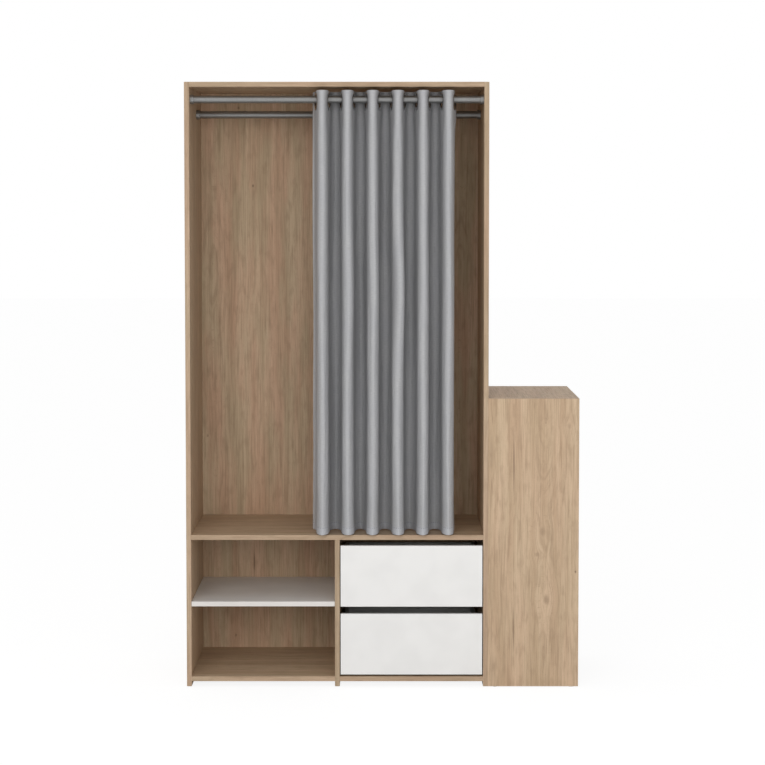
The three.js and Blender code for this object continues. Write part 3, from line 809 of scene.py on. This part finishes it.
# %% Cut the cloth flat
HOLE_PLAY, HOLE_INSIDE, HOLE_OUTSIDE = 0.6 * MM, 0.7 * MM, 2 * MM
HOLE = EYELET_BORE + EYELET_SLEEVE + HOLE_PLAY
HEM = 25 * MM
HEM_STEP = 0.6 * MM
HEADING_DROP, SETTLE_DROP, OPENING_RISE = 34 * MM, 110 * MM, 250 * MM
FIRST_ROW, LONG_ROW, MIDDLE_ROW, SHORT_ROW, LEAST_ROW = 12 * MM, 22 * MM, 10 * MM, 4.4 * MM, 1 * MM
heading_low = first_eyelet.z - HEADING_DROP
settle_low = first_eyelet.z - SETTLE_DROP
opening_high = cloth_low.z + OPENING_RISE


def row_heights():
    """Heights of the rows, close together in the hem and round the eyelets."""
    hem_top = cloth_low.z + HEM
    rows = [cloth_low.z + HEM * share for share in (0, 0.25, 0.5, 0.75)]
    rows += [hem_top - HEM_STEP, hem_top + HEM_STEP]
    z = hem_top + FIRST_ROW
    while z < cloth_high.z - LEAST_ROW:
        rows.append(z)
        z += LONG_ROW if z < settle_low else MIDDLE_ROW if z < heading_low else SHORT_ROW
    return rows + [cloth_high.z]


rows = row_heights()
columns = len(lengths)
bm = bmesh.new()
bmesh.ops.create_grid(bm, x_segments=columns - 1, y_segments=len(rows) - 1, size=1)
for vert in bm.verts:
    column = round((vert.co.x + 1) / 2 * (columns - 1))
    row = round((vert.co.y + 1) / 2 * (len(rows) - 1))
    vert.co = (lengths[column], rows[row], 0)

for index in range(EYELETS):
    place = Vector((lengths[HALF_STEPS * (2 * index + 1)], first_eyelet.z, 0))
    inside = [vert for vert in bm.verts if (vert.co - place).length < HOLE - HOLE_INSIDE]
    bmesh.ops.delete(bm, geom=inside, context="VERTS")
    for vert in bm.verts:
        away = vert.co - place
        if vert.is_boundary and away.length < EYELET_BORE + EYELET_FLANGE + HOLE_OUTSIDE:
            vert.co = place + away.normalized() * HOLE

cloth_map = bm.loops.layers.uv.new("cloth")
for face in bm.faces:
    for loop in face.loops:
        loop[cloth_map].uv = (loop.vert.co.x, loop.vert.co.y - cloth_low.z)
print("flat cloth with", len(bm.verts), "points and", EYELETS, "holes")


# %% [markdown]
# ## Hanging the cloth
# Every point of the flat cloth is carried to its place on the fold line at its height, where the flank's
# tilt and the tip's bluntness blend from one stage to the next. A slow wander and a gentle sway of the fronts
# keep the folds from looking machined. Both fade out towards the eyelets, which hold the cloth in place.

# %% Hang it on the fold line
HELD_RISE, FREE_SHARE = 16 * MM, 0.35
WANDER = 1.5 * MM
# The wander's waves, in radians: their rate along a metre of height, and their shift from fold to fold
SIDE_RATE, SIDE_SHIFT, SHIFT_RATE = 7.3, 1.9, 1.7
DEPTH_RATE, DEPTH_SHIFT = 5.1, 2.3
SWAY, SWAY_HEIGHT, SWAY_REACH = 8 * MM, 1.32, 0.17
ROUNDING = 1e-7
lines = {}


def between(first, second, share):
    """A stage part of the way from one to another."""
    share = min(1, max(0, share))
    share = share * share * (3 - 2 * share)
    return tuple(round(a + (b - a) * share, 3) for a, b in zip(first, second))


def line_at(z):
    """The fold line at a height: flared at the top edge, held at the eyelets, then settled and opened."""
    if z > first_eyelet.z:
        start = first_eyelet.z + HELD_RISE
        stage = between(HELD, FLARED, (z - start) / (cloth_high.z - start))
    elif z > settle_low:
        stage = between(HELD, SETTLED, (heading_low - z) / (heading_low - settle_low))
    else:
        stage = between(SETTLED, OPENED, (opening_high - z) / (opening_high - cloth_low.z))
    if stage not in lines:
        lines[stage] = fold_line(*stage)
    return lines[stage]


def hang(along, z):
    """Where a point of the flat cloth hangs, from its place along the width and its height."""
    line = line_at(z)
    after = next((i for i, length in enumerate(lengths) if length > along + ROUNDING), len(lengths) - 1)
    share = (along - lengths[after - 1]) / (lengths[after] - lengths[after - 1])
    return line[after - 1].lerp(line[after], share)


for vert in bm.verts:
    z = vert.co.y
    x, y = hang(vert.co.x, z)
    free = min(1, max(0, (heading_low - z) / (FREE_SHARE * (heading_low - cloth_low.z))))
    fold = x / pitch
    front = max(0, -y / reach)
    sway = math.exp(-((z - SWAY_HEIGHT) / SWAY_REACH) ** 2) * math.sin(math.pi * fold / EYELETS) ** 2
    wander = math.sin(SIDE_RATE * z + SIDE_SHIFT * math.sin(SHIFT_RATE * fold))
    x += free * (SWAY * front * sway + WANDER * wander)
    y += free * WANDER * math.sin(DEPTH_RATE * z + DEPTH_SHIFT * fold)
    vert.co = (first_eyelet.x + x, first_eyelet.y + y, z)

curtain = add_mesh("curtain_cloth", bm)
mesh = curtain.data
print("hung cloth", len(mesh.vertices), "points,", len(mesh.polygons), "faces")

# %% [markdown]
# ## Letting it settle
# A short cloth simulation lets the hung sheet settle under its own weight, with the heading held by the
# eyelets. Only the sideways movement is kept, and no point may go further than about a millimetre, so the
# hem stays clear of the floor of the bay and the tips of the folds stay round.

# %% Simulate the cloth
SETTLE_FRAMES = 20
SETTLE_CAP = 1.2 * MM
hung = [vert.co.copy() for vert in mesh.vertices]
held = curtain.vertex_groups.new(name="held")
held.add([vert.index for vert in mesh.vertices if vert.co.z > heading_low], 1, "REPLACE")
drape = curtain.modifiers.new("drape", "CLOTH")
drape.settings.vertex_group_mass = "held"
drape.settings.quality = 4
drape.settings.mass = 0.01
drape.settings.tension_stiffness = drape.settings.compression_stiffness = 30
drape.settings.bending_stiffness = 0.05
drape.collision_settings.use_collision = False
drape.point_cache.frame_end = SETTLE_FRAMES
for frame_number in range(1, SETTLE_FRAMES + 1):
    scene.frame_set(frame_number)
settled = curtain.evaluated_get(bpy.context.evaluated_depsgraph_get()).data
moves = [settled.vertices[vert.index].co - start for vert, start in zip(mesh.vertices, hung)]
curtain.modifiers.remove(drape)
curtain.vertex_groups.remove(held)
scene.frame_set(1)
furthest = max(move.xy.length for move in moves)
for vert, start, move in zip(mesh.vertices, hung, moves):
    sideways = Vector((move.x, move.y, 0))
    if sideways.length > SETTLE_CAP:
        sideways = sideways.normalized() * SETTLE_CAP
    vert.co = start + sideways
print("settled, at most", round(furthest / MM, 1), "mm before the cap")

# %% [markdown]
# ## Thickness and hem
# Solidify gives the sheet its thickness. The hem is the same cloth folded up and sewn, so it is thicker:
# its points move out along their normals, which leaves a fine step where the fold ends.

# %% Give the cloth its thickness
HEM_FOLD = 0.5 * MM
bm = bmesh.new()
bm.from_mesh(mesh)
bmesh.ops.solidify(bm, geom=bm.faces[:], thickness=CLOTH)
bmesh.ops.recalc_face_normals(bm, faces=bm.faces)
bm.normal_update()
for vert in bm.verts:
    if vert.co.z < cloth_low.z + HEM:
        out = Vector((vert.normal.x, vert.normal.y, 0))
        vert.co += out.normalized() * HEM_FOLD
bm.to_mesh(mesh)
bm.free()
smooth(curtain, degrees=60)
print("thick cloth", len(mesh.polygons), "faces")

# %% [markdown]
# ## Grey woven polyester
# The cloth is a plain weave of slightly uneven yarn, which gives short slubs along the weft and a dull,
# even surface with hardly any sheen. A real thread is a quarter of a millimetre wide, too fine to show, so
# the threads are drawn four times as coarse and faint. The hem is painted a little lighter and bluer:
# partly for the doubled cloth, and partly as painted light from the white floor below. A row of stitches
# runs along the hem's upper edge. Real stitches are half as long and a quarter as wide, so these are drawn
# coarser to stay visible.

# %% Woven cloth
THREAD, THREAD_DEPTH = 1.1 * MM, 0.2 * MM
SLUB, DYE_CLOUD = (14 * MM, 2.6 * MM), (50 * MM, 90 * MM)
STITCH_LENGTH, STITCH_GAP, STITCH_WIDTH, STITCH_DROP = 6 * MM, 4 * MM, 2 * MM, 2.5 * MM

weave, add, fill_shader = new_material("grey_woven_polyester")
place = add("SeparateXYZ", add("UVMap", uv_map="cloth"))
across, up = place.outputs["X"], place.outputs["Y"]
slubs = grain_noise(add, across, up, *SLUB, detail=3)
clouds = grain_noise(add, across, up, *DYE_CLOUD, offset=3)
warp = add("Math", add("Math", across, math.pi / THREAD, operation="MULTIPLY"), operation="SINE")
weft = add("Math", add("Math", up, math.pi / THREAD, operation="MULTIPLY"), operation="SINE")
threads = add("Math", warp, weft, operation="MULTIPLY")
share = add("MapRange", slubs, 0.3, 0.7, 0, 1)
tone = add("Mix", share, linear("#a5a5a6"), linear("#b3b3b4"), data_type="RGBA")
share = add("MapRange", clouds, 0.35, 0.65, 0, 0.35, interpolation_type="SMOOTHSTEP")
tone = add("Mix", share, tone, linear("#a4a4a8"), data_type="RGBA")
tone = add("Mix", add("MapRange", threads, -1, 1, 0, 0.10), tone, linear("#8f8f91"), data_type="RGBA")
# The hem is lighter and bluer: partly the doubled cloth, partly painted light from the floor below
hem_and_floor_light_share = add("MapRange", up, HEM + HEM_STEP, HEM - HEM_STEP, 0, 0.35)
tone = add("Mix", hem_and_floor_light_share, tone, linear("#b8bbc2"), data_type="RGBA")

# Stitches: dashes along the width on a line just below the hem's upper edge
from_line = add("Math", add("Math", up, HEM - STITCH_DROP, operation="SUBTRACT"), operation="ABSOLUTE")
on_line = add("Math", from_line, STITCH_WIDTH / 2, operation="LESS_THAN")
step = add("Math", across, STITCH_LENGTH + STITCH_GAP, operation="MODULO")
stitch = add("Math", add("Math", step, STITCH_LENGTH, operation="LESS_THAN"), on_line, operation="MULTIPLY")
tone = add("Mix", add("Math", stitch, 0.7, operation="MULTIPLY"), tone, linear("#737377"), data_type="RGBA")

height = add("Math", threads, 0.4, slubs, operation="MULTIPLY_ADD")
height = add("Math", stitch, -1.5, height, operation="MULTIPLY_ADD")
bump = add("Bump", {"Height": height, "Strength": 0.25, "Distance": THREAD_DEPTH})
fill_shader({"Base Color": tone, "Roughness": 0.92, "Normal": bump, "Specular IOR Level": 0.25})
mesh.materials.append(weave)
print("cloth material:", weave.name)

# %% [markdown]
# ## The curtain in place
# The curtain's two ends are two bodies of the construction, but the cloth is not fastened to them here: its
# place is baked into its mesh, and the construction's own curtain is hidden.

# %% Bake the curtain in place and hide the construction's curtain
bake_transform(curtain)
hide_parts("curtain")

# %% [markdown]
# ## Pressed eyelets
# An eyelet is two domed rings of thin brass that are pressed together through the cloth. Its section is one
# closed outline: a flat groove for the cloth, an upright rim, a dome, and a rolled bore that slides on the
# rail. It is spun into a ring, which is then turned to the lean of its flank.

# %% Eyelets
GROOVE_PLAY = 0.3 * MM
HALF_GROOVE = CLOTH / 2 + GROOVE_PLAY
RIM, DOME, ROLL = 1.6 * MM, 2.6 * MM, 1.2 * MM
DOME_STEPS, ROLL_STEPS = 5, 5


def eyelet_profile():
    """Both pressed halves as one section of (along, radius), with domed flanges and a rolled bore."""
    outer = EYELET_BORE + EYELET_FLANGE
    right = [(HALF_GROOVE, EYELET_BORE + EYELET_SLEEVE), (HALF_GROOVE, outer), (RIM, outer)]
    for step in range(1, DOME_STEPS + 1):
        turn = math.pi / 2 * step / DOME_STEPS
        right.append((RIM + (DOME - RIM) * math.sin(turn),
                      outer - (EYELET_FLANGE - ROLL) * (1 - math.cos(turn))))
    for step in range(1, ROLL_STEPS + 1):
        turn = math.pi / 2 * step / ROLL_STEPS
        right.append((DOME - ROLL * (1 - math.cos(turn)), EYELET_BORE + ROLL * (1 - math.sin(turn))))
    return right + [(-along, radius) for along, radius in reversed(right)]


for index in range(EYELETS):
    node = f"eyelet_{index + 1:02d}"
    bm = turned(eyelet_profile(), (0, 0, 0), steps=48)
    lean = math.radians(HELD[0]) * (1 if index % 2 == 0 else -1)
    place = Matrix.Translation((first_eyelet.x + index * pitch, first_eyelet.y, first_eyelet.z))
    bmesh.ops.transform(bm, matrix=place @ Matrix.Rotation(lean, 4, "Z"), verts=bm.verts)
    piece = add_piece(f"pressed_{node}", bm, [nickel_ring], slot=slot_of[node], replaces=(node,))
    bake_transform(piece)
    smooth(piece)

# %% [markdown]
# ## Nail-on glides
# Two small nylon discs under each upright keep its raw edge off the floor. Each is a circle that is
# extruded to its height, with a soft round where it meets the floor.

# %% Glides
GLIDE_RADIUS, GLIDE_INSET, GLIDE_ROUND = 7 * MM, 24 * MM, 0.5 * MM
glide_places = []
for node in ("side_panel_left", "side_panel_right", "divider"):
    low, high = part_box(node)
    middle = (low.x + high.x) / 2
    glide_places += [(middle, low.y + GLIDE_INSET), (middle, high.y - GLIDE_INSET)]
for node in ("low_unit_side_front", "low_unit_side_rear"):
    low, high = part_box(node)
    middle = (low.y + high.y) / 2
    glide_places += [(low.x + GLIDE_INSET, middle), (high.x - GLIDE_INSET, middle)]
for number, (x, y) in enumerate(glide_places, start=1):
    bm = bmesh.new()
    bmesh.ops.create_circle(bm, cap_ends=True, radius=GLIDE_RADIUS, segments=32)
    ends = bmesh.ops.extrude_face_region(bm, geom=bm.faces[:])
    bmesh.ops.translate(bm, vec=(0, 0, GLIDE_HEIGHT),
                        verts=[item for item in ends["geom"] if isinstance(item, bmesh.types.BMVert)])
    bmesh.ops.recalc_face_normals(bm, faces=bm.faces)
    lower_rim = [edge for edge in bm.edges if all(vert.co.z < TOUCH for vert in edge.verts)]
    bmesh.ops.bevel(bm, geom=lower_rim, offset=GLIDE_ROUND, segments=2, profile=0.5, affect="EDGES",
                    material=-1)
    bmesh.ops.translate(bm, verts=bm.verts, vec=(x, y, 0))
    smooth(add_piece(f"nail_on_glide_{number:02d}", bm, [glide_nylon], body="root"))
print(len(glide_places), "glides")

# %% [markdown]
# ## Last look at the size
# The dressed wardrobe has to fill the same box as its construction, so its box is written down.

# %% Sizes
low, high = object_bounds()
print("dressed box", tuple(low), tuple(high))
